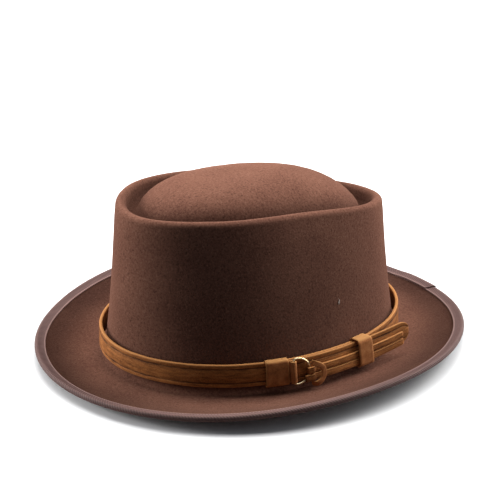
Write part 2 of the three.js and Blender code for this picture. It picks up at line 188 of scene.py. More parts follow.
# Adds a node. Its inputs go by name or number and are values, sockets, or nodes whose first output is meant.
# Stops are a colour ramp's positions and colours.
def add(tree, kind, inputs=None, stops=None, **settings):
    made = tree.nodes.new(kind)
    for key, value in settings.items():
        setattr(made, key, value)
    for key, value in (inputs or {}).items():
        if isinstance(value, bpy.types.Node):
            value = next(socket for socket in value.outputs if socket.enabled)
        if isinstance(value, bpy.types.NodeSocket):
            tree.links.new(value, made.inputs[key])
        else:
            made.inputs[key].default_value = value
    if stops:
        elements = made.color_ramp.elements
        for element, (position, text) in zip(elements, (stops[0], stops[-1])):
            element.position = position
            element.color = colour(text)
        for position, text in stops[1:-1]:
            elements.new(position).color = colour(text)
    return made


def newMaterial(name):
    material = bpy.data.materials.new(name)
    material.use_nodes = True
    material.node_tree.nodes.clear()
    return material, material.node_tree


def addSurface(tree, inputs):
    shader = add(tree, "ShaderNodeBsdfPrincipled", inputs)
    add(tree, "ShaderNodeOutputMaterial", {"Surface": shader})


# Wool felt: matt brown with fine paler and darker hairs and a short nap. Its real hairs are finer than a
# pixel, so they are drawn thicker. The texture map's first value says how much painted shade darkens the
# felt.
feltGrain = {"cloud": 26, "hair": 720, "nap": 2300}  # repeats in a metre


def makeFelt():
    material, tree = newMaterial("Wool felt")
    where = add(tree, "ShaderNodeTexCoord").outputs["Object"]
    paintedShade = add(tree, "ShaderNodeSeparateXYZ", {0: add(tree, "ShaderNodeUVMap", uv_map="UVMap")})
    cloud = add(tree, "ShaderNodeTexNoise", {
        "Vector": where, "Scale": feltGrain["cloud"], "Detail": 2, "Roughness": 0.5})
    hair = add(tree, "ShaderNodeTexNoise", {
        "Vector": where, "Scale": feltGrain["hair"], "Detail": 3, "Roughness": 0.8})
    nap = add(tree, "ShaderNodeTexNoise", {
        "Vector": where, "Scale": feltGrain["nap"], "Detail": 2, "Roughness": 0.7})
    base = add(tree, "ShaderNodeValToRGB", {0: cloud}, stops=[(0.35, "6a4639"), (0.65, "765041")])
    darkHair = add(tree, "ShaderNodeValToRGB", {0: hair}, stops=[(0.32, "ffffff"), (0.48, "000000")])
    paleHair = add(tree, "ShaderNodeValToRGB", {0: hair}, stops=[(0.53, "000000"), (0.68, "ffffff")])
    darkShare = add(tree, "ShaderNodeMath", {0: darkHair, 1: 0.7}, operation="MULTIPLY")
    paleShare = add(tree, "ShaderNodeMath", {0: paleHair, 1: 0.4}, operation="MULTIPLY")
    shaded = add(tree, "ShaderNodeMix", {0: darkShare, 6: base, 7: colour("39241d")}, data_type="RGBA")
    flecked = add(tree, "ShaderNodeMix", {0: paleShare, 6: shaded, 7: colour("98725f")}, data_type="RGBA")
    # Painted shade: the felt is darkened by the texture map's first value in the groove, on the rim's inner
    # side, towards the foot and out across the brim.
    feltWithPaintedShade = add(tree, "ShaderNodeMix", {0: paintedShade, 6: flecked, 7: colour("868487")}, data_type="RGBA",
               blend_type="MULTIPLY")
    fine = add(tree, "ShaderNodeBump", {"Height": nap, "Strength": 0.4, "Distance": 0.0003})
    rough = add(tree, "ShaderNodeBump", {
        "Height": hair, "Strength": 0.35, "Distance": 0.0005, "Normal": fine})
    addSurface(tree, {
        "Base Color": feltWithPaintedShade, "Normal": rough, "Roughness": 1, "Specular IOR Level": 0.05,
        "Sheen Weight": 0.25, "Sheen Roughness": 0.4, "Sheen Tint": colour("dc9f84"),
    })
    return material


# Grosgrain ribbon: slanted ribs with a dull sheen, a paler selvedge along the inner border, a painted
# highlight along the fold's crest and painted shade below it and on the underside. The texture map runs along
# the ribbon and across it, in metres. A wave texture of scale 200 has a rib every 1.6 mm. The ramps across
# the ribbon run from 0 to 1 in a fiftieth of a metre.
ribbonGrain = {"rib": 200, "slant": 35, "cloud": (70, 420, 1), "across": 50}


def makeRibbon():
    material, tree = newMaterial("Grosgrain ribbon")
    where = add(tree, "ShaderNodeUVMap", uv_map="UVMap")
    slant = add(tree, "ShaderNodeVectorRotate", {
        "Vector": where, "Angle": math.radians(ribbonGrain["slant"])}, rotation_type="Z_AXIS")
    ribs = add(tree, "ShaderNodeTexWave", {
        "Vector": slant, "Scale": ribbonGrain["rib"], "Distortion": 0.6, "Detail": 1,
    }, wave_type="BANDS", bands_direction="X").outputs["Fac"]
    longways = add(tree, "ShaderNodeMapping", {"Vector": where, "Scale": ribbonGrain["cloud"]})
    cloud = add(tree, "ShaderNodeTexNoise", {"Vector": longways, "Scale": 1, "Detail": 3, "Roughness": 0.5})
    weave = add(tree, "ShaderNodeValToRGB", {0: ribs}, stops=[(0.1, "3a2421"), (0.9, "61443f")])
    worn = add(tree, "ShaderNodeValToRGB", {0: cloud}, stops=[(0.3, "402b28"), (0.7, "624742")])
    plain = add(tree, "ShaderNodeMix", {0: 0.35, 6: weave, 7: worn}, data_type="RGBA")
    metresAcross = add(tree, "ShaderNodeSeparateXYZ", {0: where}).outputs["Y"]
    across = add(tree, "ShaderNodeMath", {0: metresAcross, 1: ribbonGrain["across"]}, operation="MULTIPLY")
    # A pale selvedge along the inner border, then a painted highlight along the fold's crest.
    selvedgeAndFoldHighlight = add(tree, "ShaderNodeValToRGB", {0: across}, stops=[
        (0.0, "ffffff"), (0.04, "ffffff"), (0.06, "000000"),
        (0.26, "000000"), (0.31, "777777"), (0.36, "000000")])
    selvedgeAndHighlightShare = add(tree, "ShaderNodeMath", {0: selvedgeAndFoldHighlight, 1: 0.6}, operation="MULTIPLY")
    bordered = add(tree, "ShaderNodeMix", {0: selvedgeAndHighlightShare, 6: plain, 7: colour("97786f")}, data_type="RGBA")
    # Painted shade: the ribbon darkens from below the fold's crest onto its underside.
    under = add(tree, "ShaderNodeValToRGB", {0: across}, stops=[(0.31, "000000"), (0.44, "ffffff")])
    underPaintedShade = add(tree, "ShaderNodeMath", {0: under, 1: 0.7}, operation="MULTIPLY")
    folded = add(tree, "ShaderNodeMix", {0: underPaintedShade, 6: bordered, 7: colour("442b26")}, data_type="RGBA")
    ribbed = add(tree, "ShaderNodeBump", {"Height": ribs, "Strength": 0.7, "Distance": 0.0003})
    addSurface(tree, {
        "Base Color": folded, "Normal": ribbed, "Roughness": 0.7, "Specular IOR Level": 0.3,
        "Sheen Weight": 0.3, "Sheen Tint": colour("c8a096"),
    })
    return material


edgeGrain = 160  # repeats in a metre


# Leather's rubbed borders and pale cut edges. The texture map's second value is the share across the piece.
# Returns the colour, and how far in from the nearer border a point lies: 0 at the border, 1 in the middle.
def leatherEdges(tree, base, border, pale):
    coordinates = add(tree, "ShaderNodeTexCoord")
    where = add(tree, "ShaderNodeUVMap", uv_map="UVMap")
    across = add(tree, "ShaderNodeSeparateXYZ", {0: where}).outputs["Y"]
    doubled = add(tree, "ShaderNodeMath", {0: across, 1: 2}, operation="MULTIPLY")
    centred = add(tree, "ShaderNodeMath", {0: doubled, 1: 1}, operation="SUBTRACT")
    fromMiddle = add(tree, "ShaderNodeMath", {0: centred}, operation="ABSOLUTE")
    fromBorder = add(tree, "ShaderNodeMath", {0: 1, 1: fromMiddle}, operation="SUBTRACT")
    wander = add(tree, "ShaderNodeTexNoise", {
        "Vector": coordinates.outputs["Object"], "Scale": edgeGrain, "Detail": 2, "Roughness": 0.5})
    bothWays = add(tree, "ShaderNodeMath", {0: wander, 1: 0.5}, operation="SUBTRACT")
    shift = add(tree, "ShaderNodeMath", {0: bothWays, 1: 0.07}, operation="MULTIPLY")
    inwards = add(tree, "ShaderNodeMath", {0: fromBorder, 1: shift}, operation="ADD")
    rubbed = add(tree, "ShaderNodeMapRange", {0: inwards, 1: border * 0.4, 2: border, 3: 0.4, 4: 0})
    bordered = add(tree, "ShaderNodeMix", {0: rubbed, 6: base, 7: colour(pale)}, data_type="RGBA")
    facing = add(tree, "ShaderNodeSeparateXYZ", {0: coordinates.outputs["Normal"]}).outputs["Z"]
    level = add(tree, "ShaderNodeMath", {0: facing}, operation="ABSOLUTE")
    cut = add(tree, "ShaderNodeMapRange", {0: level, 1: 0.55, 2: 0.85, 3: 0, 4: 0.85})
    return add(tree, "ShaderNodeMix", {0: cut, 6: bordered, 7: colour(pale)}, data_type="RGBA"), inwards


# Waxed leather of the band, the tongue and the lace: dark streaks along its length, a fine grain and a
# burnished crease beside each border.
leatherGrain = {"streak": (100, 100, 600), "cloud": (38, 38, 110), "pore": 1500}  # repeats in a metre


def makeLeather():
    material, tree = newMaterial("Waxed leather")
    where = add(tree, "ShaderNodeTexCoord").outputs["Object"]
    streakPlace = add(tree, "ShaderNodeMapping", {"Vector": where, "Scale": leatherGrain["streak"]})
    streaks = add(tree, "ShaderNodeTexNoise", {
        "Vector": streakPlace, "Scale": 1, "Detail": 6, "Roughness": 0.75, "Distortion": 0.3})
    cloudPlace = add(tree, "ShaderNodeMapping", {"Vector": where, "Scale": leatherGrain["cloud"]})
    clouds = add(tree, "ShaderNodeTexNoise", {
        "Vector": cloudPlace, "Scale": 1, "Detail": 3, "Roughness": 0.5})
    pores = add(tree, "ShaderNodeTexNoise", {
        "Vector": where, "Scale": leatherGrain["pore"], "Detail": 3, "Roughness": 0.6})
    streaked = add(tree, "ShaderNodeValToRGB", {0: streaks}, stops=[
        (0.36, "35180d"), (0.45, "74401f"), (0.53, "a96534"), (0.68, "cb8a52")])
    clouded = add(tree, "ShaderNodeValToRGB", {0: clouds}, stops=[(0.35, "703f1e"), (0.65, "b3723c")])
    grained = add(tree, "ShaderNodeValToRGB", {0: pores}, stops=[(0.35, "5a2f14"), (0.65, "be8245")])
    toned = add(tree, "ShaderNodeMix", {0: 0.45, 6: streaked, 7: clouded}, data_type="RGBA")
    base = add(tree, "ShaderNodeMix", {0: 0.3, 6: toned, 7: grained}, data_type="RGBA")
    edged, inwards = leatherEdges(tree, base, 0.12, "bd824c")
    crease = add(tree, "ShaderNodeValToRGB", {0: inwards}, stops=[
        (0.3, "000000"), (0.35, "ffffff"), (0.43, "ffffff"),
        (0.48, "303030"), (0.53, "b0b0b0"), (0.58, "000000")])
    wear = add(tree, "ShaderNodeValToRGB", {0: streaks}, stops=[(0.35, "ffffff"), (0.7, "b0b0b0")])
    worn = add(tree, "ShaderNodeMath", {0: crease, 1: wear}, operation="MULTIPLY")
    burnished = add(tree, "ShaderNodeMath", {0: worn, 1: 0.85}, operation="MULTIPLY")
    creased = add(tree, "ShaderNodeMix", {0: burnished, 6: edged, 7: colour("24100a")}, data_type="RGBA")
    valley = add(tree, "ShaderNodeMath", {0: 1, 1: crease}, operation="SUBTRACT")
    fine = add(tree, "ShaderNodeBump", {"Height": pores, "Strength": 0.3, "Distance": 0.0002})
    pressed = add(tree, "ShaderNodeBump", {
        "Height": valley, "Strength": 0.35, "Distance": 0.0004, "Normal": fine})
    uneven = add(tree, "ShaderNodeBump", {
        "Height": streaks, "Strength": 0.25, "Distance": 0.0004, "Normal": pressed})
    addSurface(tree, {
        "Base Color": creased, "Normal": uneven, "Roughness": 0.75, "Specular IOR Level": 0.12})
    return material


# Nubuck leather of the loops, the tab and the wrap: soft, matt, a little cloudy, with rubbed pale borders.
nubuckGrain = {"cloud": 210, "pore": 1500}  # repeats in a metre


def makeNubuck():
    material, tree = newMaterial("Nubuck leather")
    where = add(tree, "ShaderNodeTexCoord").outputs["Object"]
    clouds = add(tree, "ShaderNodeTexNoise", {
        "Vector": where, "Scale": nubuckGrain["cloud"], "Detail": 4, "Roughness": 0.6})
    pores = add(tree, "ShaderNodeTexNoise", {
        "Vector": where, "Scale": nubuckGrain["pore"], "Detail": 3, "Roughness": 0.7})
    clouded = add(tree, "ShaderNodeValToRGB", {0: clouds}, stops=[
        (0.3, "804a26"), (0.5, "a56538"), (0.72, "bd7e4c")])
    grained = add(tree, "ShaderNodeValToRGB", {0: pores}, stops=[(0.35, "68371a"), (0.65, "b27646")])
    base = add(tree, "ShaderNodeMix", {0: 0.25, 6: clouded, 7: grained}, data_type="RGBA")
    edged, _ = leatherEdges(tree, base, 0.13, "c08a52")
    sanded = add(tree, "ShaderNodeBump", {"Height": pores, "Strength": 0.35, "Distance": 0.0003})
    addSurface(tree, {
        "Base Color": edged, "Normal": sanded, "Roughness": 0.85, "Specular IOR Level": 0.15,
        "Sheen Weight": 0.25, "Sheen Tint": colour("d9a878"),
    })
    return material


# Brass with pale gold plating, a little rubbed.
giltGrain = 900  # repeats in a metre


def makeGilt():
    material, tree = newMaterial("Gilt brass")
    where = add(tree, "ShaderNodeTexCoord").outputs["Object"]
    rub = add(tree, "ShaderNodeTexNoise", {
        "Vector": where, "Scale": giltGrain, "Detail": 3, "Roughness": 0.5})
    gold = add(tree, "ShaderNodeValToRGB", {0: rub}, stops=[(0.3, "ecd093"), (0.7, "fbeccb")])
    scratched = add(tree, "ShaderNodeBump", {"Height": rub, "Strength": 0.1, "Distance": 0.0001})
    addSurface(tree, {"Base Color": gold, "Normal": scratched, "Metallic": 1, "Roughness": 0.32})
    return material


# Seamless white paper under the hat: even and matt.
def makePaper():
    material, tree = newMaterial("White paper")
    addSurface(tree, {"Base Color": colour("f7f7f7"), "Roughness": 0.9, "Specular IOR Level": 0.1})
    return material


# Loose cotton lint, dull and pale.
def makeCotton():
    material, tree = newMaterial("Cotton lint")
    addSurface(tree, {"Base Color": colour("d8c9bd"), "Roughness": 0.9})
    return material


felt = makeFelt()
ribbon = makeRibbon()
leather = makeLeather()
nubuck = makeNubuck()
gilt = makeGilt()
cotton = makeCotton()
print("materials made")

# Felt crown and brim: the part's sections with more points, and the small unevenness of blocked felt. Dome,
# wall, brim and edge are shares of their runs, groove is (share across, share of the depth), and rim and foot
# are angles.
body = {
    "around": 240, "domeFoot": 0.8, "domePower": 0.65,
    "dome": [0, 0.1, 0.2, 0.3, 0.4, 0.5, 0.6, 0.68, 0.75, 0.82, 0.88, 0.93, 0.97, 1],
    "groove": [(0.18, 0.94), (0.35, 1.0), (0.55, 1.01), (0.75, 0.97), (0.92, 0.8), (1.02, 0.6)],
    "rim": [172, 155, 135, 115, 95, 75, 55, 37, 18, 0],
    "wall": [0.93, 0.85, 0.76, 0.66, 0.56, 0.46, 0.37, 0.28, 0.2, 0.12, 0.06, 0],
    "foot": [15, 30, 45, 60, 75],
    "brim": [0.08, 0.17, 0.26, 0.36, 0.46, 0.56, 0.66, 0.75, 0.83, 0.9, 0.95, 1],
    "edge": [0.2, 0.5, 0.8],
    "seed": 7, "wobble": 0.45, "wobbleSize": 55, "calmBelow": 30, "calmShare": 0.25, "stillBelow": 1.5,
}
# How much painted shade darkens each stretch of the felt, from 0 to 1.
paintedShade = {
    "dome": 0.5, "groove": 0.6, "rim": 0.5, "wall": 0.4, "foot": 0.3, "rest": 0.25, "brim": 0.9, "edge": 0.6,
}


def feltNet(turns):
    rimRadius = size["rimRadius"]
    crest = size["crownHeight"] * at("rim", turns)
    lean = size["crownLean"] * at("lean", turns)
    groove = size["grooveWidth"] * at("groove", turns)
    depth = size["grooveDepth"]
    columns, level, paintedShades = [], [], []

    def put(points, paintedShadeHere, flat=False):
        columns.append(points)
        level.append(flat)
        paintedShades.append(paintedShadeHere)

    domeFoot = size["crownHeight"] - body["domeFoot"] * depth
    top = np.array([0, 0, size["crownHeight"] + size["domeRise"]])
    edge = place(turns, -lean - 2 * rimRadius - groove, crest - body["domeFoot"] * depth)
    for share in body["dome"]:
        point = top + (edge - top) * share
        bulge = (1 - share**3) ** body["domePower"]
        point[:, 2] = domeFoot + (edge[:, 2] - domeFoot) * share**2 + (top[2] - domeFoot) * bulge
        put(point, paintedShade["dome"] * smoothStep(share, 0.8, 1))
    for across, down in body["groove"]:
        out = -lean - 2 * rimRadius - groove * (1 - across)
        put(place(turns, out, crest - down * depth), paintedShade["groove"])
    for angle in body["rim"]:
        turned = math.radians(angle)
        out = -lean - rimRadius + rimRadius * math.cos(turned)
        z = crest - rimRadius + rimRadius * math.sin(turned)
        put(place(turns, out, z), paintedShade["rim"] * smoothStep(angle, 60, 180))
    footTop = half + size["footRadius"]
    for share in body["wall"]:
        z = footTop + (crest - rimRadius - footTop) * share
        put(place(turns, wallOut(turns, z), z), paintedShade["wall"] * (1 - share))
    for angle in body["foot"]:
        turned = math.radians(angle)
        out = footEnd(turns) - size["footRadius"] * math.cos(turned)
        put(place(turns, out, footTop - size["footRadius"] * math.sin(turned)), paintedShade["foot"])
    inner = footEnd(turns)
    put(place(turns, inner, half), paintedShade["rest"], True)
    put(place(turns, inner + size["restWidth"], half), paintedShade["rest"], True)
    inset = size["bindingWall"] + gap + half
    reach = size["brimWidth"] * at("width", turns) - inset
    for share in body["brim"]:
        out = inner + size["restWidth"] + (reach - inner - size["restWidth"]) * share
        z, slope = brimAt(turns, out)
        tip = np.arctan(slope)
        # Painted shade deepens out across the brim.
        paintedShadeHere = paintedShade["rest"] + (paintedShade["brim"] - paintedShade["rest"]) * smoothStep(share, 0.05, 0.75)
        put(place(turns, out - half * np.sin(tip), z + half * np.cos(tip)), paintedShadeHere)
    return np.stack(columns, 1), np.array(level), paintedShades


def makeFeltBody():
    turns = np.arange(body["around"]) * 360 / body["around"]
    net, level, paintedShades = feltNet(turns)
    noise.seed_set(body["seed"])
    for row in net:
        for point in row:
            if point[2] >= body["stillBelow"]:
                calm = body["calmShare"] if point[2] < body["calmBelow"] else 1
                shift = noise.noise_vector(Vector(point) / body["wobbleSize"]) * body["wobble"] * calm
                point += np.array(shift)
    along = np.concatenate([net[:, 1:], net[:, -1:]], 1) - np.concatenate([net[:, :1], net[:, :-1]], 1)
    around = np.roll(net, -1, 0) - np.roll(net, 1, 0)
    square = np.cross(along, around)
    square /= np.maximum(np.linalg.norm(square, axis=2, keepdims=True), 1e-9)
    square[:, level] = (0, 0, 1)
    square[:, 0] = (0, 0, 1)
    under = net - wall * square
    tip = net[:, -1] - net[:, -2]
    tip /= np.linalg.norm(tip, axis=1, keepdims=True)
    edge = []
    for share in body["edge"]:
        between = net[:, -1] * (1 - share) + under[:, -1] * share
        edge.append(between + tip * half * math.sin(math.pi * share))
    full = np.concatenate([net, np.stack(edge, 1), under[:, ::-1]], 1)
    # The texture map's first value carries each column's painted shade.
    row = [(float(value), 0) for value in [*paintedShades, *[paintedShade["edge"]] * len(edge), *paintedShades[::-1], 0]]
    uv = [row] * (full.shape[0] + 1)
    return netPiece("feltBody", full, uv, felt, closeRows=True, closeColumns=False)


finishPiece(makeFeltBody(), "felt", "felt_body")
print("felt body made")

# Ribbon folded over the brim's edge. Its selvedge's bead is (distance in from the border, share of its rise).
binding = {
    "around": 480, "bead": 0.35, "beadShape": [(0.1, 0.4), (0.35, 1), (0.7, 0.8), (1.1, 0)], "hollow": 0.08,
    "waver": 0.12, "waverTurn": 9, "closing": 0.2, "lastStep": 0.002,
}


# The ribbon's folded outline: distances in from the brim's edge and rises over its middle surface.
def foldOutline(lift, cover):
    inside = half + gap * 0.3 + lift
    outside = inside + size["bindingWall"]
    inset = size["bindingWall"] + gap + half
    rounded = min(0.25, size["bindingWall"] / 2)
    outer = [(cover - back, outside + binding["bead"] * share) for back, share in binding["beadShape"]]
    outer += [(cover * 0.6, outside - binding["hollow"]), (cover * 0.4, outside)]
    for angle in range(90, -91, -15):
        turned = math.radians(angle)
        outer.append((inset - outside * math.cos(turned), outside * math.sin(turned)))
    outer += [(cover * 0.5, -outside), (cover - rounded, -outside), (cover, -outside + rounded)]
    inner = [(cover, -inside), (cover * 0.5, -inside)]
    for angle in (-90, -45, 0, 45, 90):
        turned = math.radians(angle)
        inner.append((inset - inside * math.cos(turned), inside * math.sin(turned)))
    inner += [(cover * 0.5, inside), (cover, inside), (cover, outside - rounded)]
    return np.array(outer + inner)


def foldPoints(turn, outline):
    width = size["brimWidth"] * at("width", turn)
    out = width - outline[:, 0]
    z, slope = brimAt(turn, out)
    tip = np.arctan(slope)
    return place(turn, out - outline[:, 1] * np.sin(tip), z + outline[:, 1] * np.cos(tip))


# How far the ribbon reaches in from the brim's edge, measured level.
def coverAt(turn):
    return size["bindingWidth"] * math.cos(math.radians(float(at("curl", turn))))


# One row of the ribbon's texture map: a length along it, and the distances round its outline.
def mapRound(along, outline):
    distances = np.concatenate([[0], np.cumsum(np.linalg.norm(np.diff(outline, axis=0), axis=1))])
    return [(along, v / 1000) for v in [*distances, distances[-1] + binding["closing"]]]


def makeBinding():
    foldStart = len(binding["beadShape"]) + 2
    turns = np.arange(binding["around"]) * 360 / binding["around"]
    rows, maps, length = [], [], 0
    for turn in turns:
        waver = binding["waver"] * noise.noise(Vector((turn / binding["waverTurn"], 0, 0)))
        outline = foldOutline(0, coverAt(turn) + waver)
        row = foldPoints(turn, outline)
        if rows:
            length += np.linalg.norm(row[foldStart] - rows[-1][foldStart])
        rows.append(row)
        maps.append(mapRound(length / 1000, outline))
    maps.append([(length / 1000 + binding["lastStep"], v) for _, v in maps[-1]])
    return netPiece("brimRibbon", np.array(rows), maps, ribbon, closeRows=True)


finishPiece(makeBinding(), "ribbon", "brim_binding")
print("ribbon made")


# A rounded rectangle: distances out and heights, with equal numbers of points whatever its size.
def roundedSection(back, face, low, high, radius, steps=3):
    radius = min(radius, (face - back) / 2 - 0.01, (high - low) / 2 - 0.01)
    corners = [(back, low, 180), (face, low, 270), (face, high, 0), (back, high, 90)]
    points = []
    for out, height, start in corners:
        centreOut = back + radius if out == back else face - radius
        centreHeight = low + radius if height == low else high - radius
        for k in range(steps + 1):
            angle = math.radians(start + 90 * k / steps)
            points.append((centreOut + radius * math.cos(angle), centreHeight + radius * math.sin(angle)))
    return np.array(points)


# A pressed crease beside each edge of the band and the tongue: shares of their width, and a depth. Its valley
# is (steps of half its width from its centre, share of its depth).
creases = {
    "centre": 0.183, "half": 0.03, "depth": 0.12,
    "valley": [(-1.4, 0), (-0.6, 0.85), (0, 1), (0.6, 0.85), (1.4, 0)],
}


# The section of a creased strip: a rounded rectangle with a shallow valley beside each edge of its face.
def creasedSection(back, face, low, high, radius):
    section = roundedSection(back, face, low, high, radius)
    corner = len(section) // 2
    valleys = []
    for centre in (creases["centre"], 1 - creases["centre"]):
        for offCentre, deep in creases["valley"]:
            share = centre + offCentre * creases["half"]
            valleys.append((face - deep * creases["depth"], low + (high - low) * share))
    return np.concatenate([section[:corner], valleys, section[corner:]])


# One row of a leather piece's texture map: the length in metres, and a share across from low to high.
def mapAcross(length, heights, low, high):
    return [(length / 1000, (h - low) / (high - low)) for h in [*heights, heights[0]]]


# How a strip's ends are rounded: distances in from the end and what they take off, as shares of its radius.
stripEnds = [(0, 0.95), (0.3, 0.3)]


# A strip of leather on the band: sectionOf gives back, face, low and high at a length.
def strip(name, lengths, sectionOf, radius, makeSection=roundedSection):
    rows, maps = [], []
    plan = [(lengths[0] + radius * inwards, radius * less) for inwards, less in stripEnds]
    plan += [(length, 0) for length in lengths[1:-1]]
    plan += [(lengths[-1] - radius * inwards, radius * less) for inwards, less in reversed(stripEnds)]
    for length, shrink in plan:
        back, face, low, high = sectionOf(length)
        section = makeSection(back + shrink, face - shrink, low + shrink, high - shrink, radius)
        rows.append(onStrap(turnAlong(length), section[:, 0], section[:, 1]))
        maps.append(mapAcross(length, section[:, 1], low, high))
    maps.append(maps[-1])
    return netPiece(name, np.array(rows), maps, leather, capEnds=True)


# Leather band round the foot of the crown, uneven by part of a millimetre.
band = {"around": 360, "corner": 0.7, "sag": 0.18, "sagTurn": 8, "waver": 0.15, "waverTurn": 11}


def makeStrap():
    total = stripLengths[-1]
    turns = np.arange(band["around"]) * 360 / band["around"]
    rows, maps = [], []
    for turn in turns:
        section = creasedSection(strapBack, strapFace, 0, size["strapWidth"], band["corner"])
        section[:, 0] += band["sag"] * noise.noise(Vector((turn / band["sagTurn"], 3, 0)))
        section[:, 1] += band["waver"] * noise.noise(Vector((turn / band["waverTurn"], 9, 0)))
        rows.append(onStrap(turn, section[:, 0], section[:, 1]))
        maps.append(mapAcross(total * turn / 360, section[:, 1], 0, size["strapWidth"]))
    maps.append([(total / 1000, v) for _, v in maps[0]])
    return netPiece("beltStrap", np.array(rows), maps, leather, closeRows=True)


finishPiece(makeStrap(), "leather", "hatband_strap")
print("strap made")

eyeInner = size["ringWire"] / 2 + gap
eyeOuter = eyeInner + size["tabWall"]
tabBack = strapFace + gap
tabFace = tabBack + size["tabWall"]


# The strap's end turned round the ring's bar: it leaves the band at the bend, passes the bar and goes round.
tab = {"bend": 2, "back": 1.4, "from": -75, "to": 171, "steps": 13, "corner": 0.35}


def makeTab():
    radius = (eyeInner + eyeOuter) / 2
    middle = tabBack + size["tabWall"] / 2
    path = [(-eyeOuter - size["tabLength"], middle), (-eyeOuter - tab["bend"], middle)]
    path.append((-tab["back"], ringOut - radius))
    for angle in np.linspace(tab["from"], tab["to"], tab["steps"]):
        turned = math.radians(angle)
        path.append((radius * math.cos(turned), ringOut + radius * math.sin(turned)))
    path = np.array(path)
    tangent = np.gradient(path, axis=0)
    tangent /= np.linalg.norm(tangent, axis=1, keepdims=True)
    normal = np.stack([tangent[:, 1], -tangent[:, 0]], 1)
    thick = size["tabWall"] / 2
    low, high = gap, size["strapWidth"] - gap
    section = roundedSection(-thick, thick, low, high, tab["corner"])
    rows, maps, along = [], [], 0
    for k, (point, side) in enumerate(zip(path, normal)):
        if k:
            along += np.linalg.norm(point - path[k - 1])
        row = []
        for depth, height in section:
            row.append(onStrap(turnAlong(point[0] + side[0] * depth), point[1] + side[1] * depth, height))
        rows.append(row)
        maps.append(mapAcross(along, section[:, 1], low, high))
    maps.append(maps[-1])
    return netPiece("ringTab", np.array(rows), maps, nubuck, capEnds=True)


finishPiece(makeTab(), "leather", "ring_tab")


# The two loops round the band, with bevelled edges.
loops = {
    "steps": 9, "bevel": 0.22, "lip": 0.02, "cornerSteps": 5, "sleeveCorner": 1.7, "keeperCorner": 2.8,
    "back": strapBack - gap - size["wrapWall"],
}


# A loop of leather round the band, from a length to a length: faceAt gives its face at a length, and extra is
# how far it stands past the band above and below.
def loop(name, start, end, faceAt, extra, corner):
    wallHere, bevel, lip = size["wrapWall"], loops["bevel"], loops["lip"]

    def outlineAt(length, inset):
        outline = roundedSection(loops["back"] + inset, faceAt(length) - inset, inset - extra,
                                 size["strapWidth"] + extra - inset, corner - inset, loops["cornerSteps"])
        return onStrap(turnAlong(length), outline[:, 0], outline[:, 1])

    plan = [(start + lip, wallHere), (start + lip, wallHere - bevel), (start, wallHere / 2)]
    plan += [(start + lip, bevel), (start + bevel, 0)]
    plan += [(length, 0) for length in np.linspace(start, end, loops["steps"])[1:-1]]
    plan += [(end - bevel, 0), (end - lip, bevel), (end, wallHere / 2)]
    plan += [(end - lip, wallHere - bevel), (end - lip, wallHere), (start + lip, wallHere)]
    rows, maps = [], []
    for length, inset in plan:
        row = outlineAt(length, inset)
        rows.append(row)
        share = (length - start) / (end - start)
        maps.append([(k / 1000, share) for k in range(len(row) + 1)])
    return netPiece(name, np.array(rows), maps, nubuck)


sleeveStart = -size["sleeveLength"] - size["ringWire"] - gap - size["tabWall"]
sleeve = loop("ringSleeve", sleeveStart, sleeveStart + size["sleeveLength"],
              lambda length: tabFace + gap + size["wrapWall"], size["sleeveExtra"], loops["sleeveCorner"])
finishPiece(sleeve, "leather", "ring_sleeve")

# The tongue runs back from the ring and stands off the crown at its rounded tip. Its tip's steps are angles.
tongue = {"steps": 60, "tipSteps": (0.1, 1.5, 12), "tipShare": 0.8, "corner": 0.45}
tongueStart = eyeOuter + gap
tongueEnd = size["tongueLength"] + tongueStart


def freeShare(length):
    return max(0, length - size["tongueFree"]) / (tongueEnd - size["tongueFree"])


def standOff(length):
    return gap + size["tongueSpring"] * freeShare(length) ** 2


def rise(length):
    return size["tongueRise"] * freeShare(length) ** 2


def makeTongue():
    tip = size["strapWidth"] / 2
    tipStart = tongueEnd - tip
    lengths = [*np.linspace(tongueStart, tipStart, tongue["steps"])]
    lengths += [*(tipStart + tip * np.sin(np.linspace(*tongue["tipSteps"])))]

    def sectionOf(length):
        share = max(0, (length - tongueEnd + tip) / tip)
        drop = tip * (1 - math.sqrt(max(0, 1 - share**2))) * tongue["tipShare"]
        back = strapFace + standOff(length)
        return back, back + tongueWall, drop + rise(length), size["strapWidth"] - drop + rise(length)

    return strip("tongueStrap", lengths, sectionOf, tongue["corner"], creasedSection)


finishPiece(makeTongue(), "leather", "tongue_strap")

# The two runs of flat lace pass over the ring's bow and bend down onto the tongue.
lace = {
    "near": 3, "lowerStart": 0.58, "bendFrom": 4, "bendTo": 5, "ringSteps": 14, "steps": 60, "lie": 0.6,
    "corner": 0.5,
}
overRing = ringOut + size["ringWire"] / 2 + gap
laceEnd = size["ringReach"] + size["laceLength"]


def laceBack(length):
    bendStart = size["ringReach"] + gap
    past = float(smoothStep(length, bendStart, bendStart + 2 * size["laceWall"]))
    onTongue = strapFace + standOff(length) + tongueWall + gap * lace["lie"]
    return overRing + (onTongue - overRing) * past


def makeLace(name, start, low):
    lengths = [*np.linspace(start, size["ringReach"] + lace["bendFrom"], lace["ringSteps"])]
    lengths += [*np.linspace(size["ringReach"] + lace["bendTo"], laceEnd, lace["steps"])]

    def sectionOf(length):
        back = laceBack(length)
        return back, back + size["laceWall"], low + rise(length), low + size["laceWidth"] + rise(length)

    return strip(name, lengths, sectionOf, lace["corner"])


upperLow = size["laceWidth"] + size["laceGroove"]
finishPiece(makeLace("laceUpper", size["ringReach"] - lace["near"], upperLow), "leather", "lace_upper")
finishPiece(makeLace("laceLower", size["ringReach"] * lace["lowerStart"], 0), "leather", "lace_lower")

